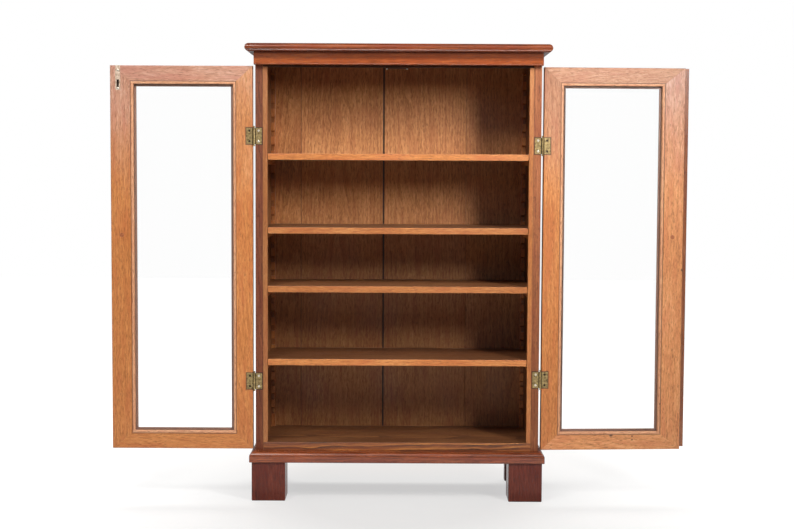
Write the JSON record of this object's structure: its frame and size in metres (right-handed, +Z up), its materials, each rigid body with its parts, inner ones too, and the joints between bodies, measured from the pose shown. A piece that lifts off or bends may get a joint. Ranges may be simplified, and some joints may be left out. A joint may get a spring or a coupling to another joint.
{
  "type": "bookcase with glass doors",
  "caption": "Free-standing oak bookcase with bullnosed top, moulded base, block feet, adjustable shelves on notched racks and hinged glazed doors shown swung open.",
  "frame": {"origin": "on the floor, under the middle of the bookcase with its doors open", "axes": "+X to the right seen from the front, +Y towards the back, +Z up"},
  "size_m": [1.7862, 0.357, 1.41],
  "materials": {
    "oak_stained": "dark red-brown stained oak, worn shellac sheen",
    "oak_honey": "honey-coloured oak, thin satin finish",
    "oak_back": "brown oak boards, nearly matt",
    "glass": "clear drawn sheet glass",
    "brass": "dull aged brass",
    "bright_steel": "worn bright screw heads",
    "dark_steel": "darkened iron screws",
    "bolt_steel": "dull nickelled steel",
    "stop_wood": "dark stained hardwood"
  },
  "bodies": {
    "carcass": {"top_board": "oak_stained", "frieze": "oak_stained", "header_rail": "oak_stained", "left_side": "oak_stained", "right_side": "oak_stained", "bottom_board": "oak_honey", "back_board_1": "oak_back", "back_board_2": "oak_back", "back_board_3": "oak_back", "back_board_4": "oak_back", "base_front": "oak_stained", "base_left": "oak_stained", "base_right": "oak_stained", "base_rear": "oak_stained", "front_left_foot": "oak_stained", "front_right_foot": "oak_stained", "rear_left_foot": "oak_stained", "rear_right_foot": "oak_stained", "front_left_rack": "oak_honey", "front_right_rack": "oak_honey", "rear_left_rack": "oak_honey", "rear_right_rack": "oak_honey", "left_cleats": "oak_honey", "right_cleats": "oak_honey", "door_stop": "stop_wood", "door_stop_screws": "bright_steel", "carcass_hinge_leaves": "brass", "hinge_pins": "brass", "carcass_hinge_screws": "bright_steel"},
    "left_door": {"left_bottom_rail": "oak_honey", "left_top_rail": "oak_honey", "left_free_stile": "oak_honey", "left_hinge_stile": "oak_honey", "left_glazing_beads": "oak_honey", "left_glass": "glass", "left_knob": "oak_stained", "left_hinge_leaves": "brass", "left_hinge_screws": "dark_steel", "bolt_plate": "bolt_steel", "bolt_plate_screws": "dark_steel"},
    "right_door": {"right_bottom_rail": "oak_honey", "right_top_rail": "oak_honey", "right_free_stile": "oak_honey", "right_hinge_stile": "oak_honey", "right_glazing_beads": "oak_honey", "right_glass": "glass", "right_knob": "oak_stained", "right_hinge_leaves": "brass", "right_hinge_screws": "dark_steel", "right_astragal": "oak_stained"},
    "slide_bolt": {"slide_bolt": "bolt_steel"},
    "shelf_1": {"shelf_1": "oak_honey"},
    "shelf_2": {"shelf_2": "oak_honey"},
    "shelf_3": {"shelf_3": "oak_honey"},
    "shelf_4": {"shelf_4": "oak_honey"}
  },
  "joints": [
    {"name": "left_door_swing", "type": "hinge", "parent": "carcass", "child": "left_door", "pos_m": [-0.444, -0.134, 0.75], "axis": [0, 0, -1], "range_deg": [-180, 15]},
    {"name": "right_door_swing", "type": "hinge", "parent": "carcass", "child": "right_door", "pos_m": [0.444, -0.134, 0.75], "axis": [0, 0, 1], "range_deg": [-183.5, 11.5]},
    {"name": "bolt_slide", "type": "slide", "parent": "left_door", "child": "slide_bolt", "axis": [0, 0, 1], "range_m": [0, 0.012]},
    {"name": "shelf_1_lift", "type": "slide", "parent": "carcass", "child": "shelf_1", "axis": [0, 0, 1], "range_m": [0, 0.12]},
    {"name": "shelf_2_lift", "type": "slide", "parent": "carcass", "child": "shelf_2", "axis": [0, 0, 1], "range_m": [0, 0.12]},
    {"name": "shelf_3_lift", "type": "slide", "parent": "carcass", "child": "shelf_3", "axis": [0, 0, 1], "range_m": [0, 0.12]},
    {"name": "shelf_4_lift", "type": "slide", "parent": "carcass", "child": "shelf_4", "axis": [0, 0, 1], "range_m": [0, 0.12]}
  ]
}
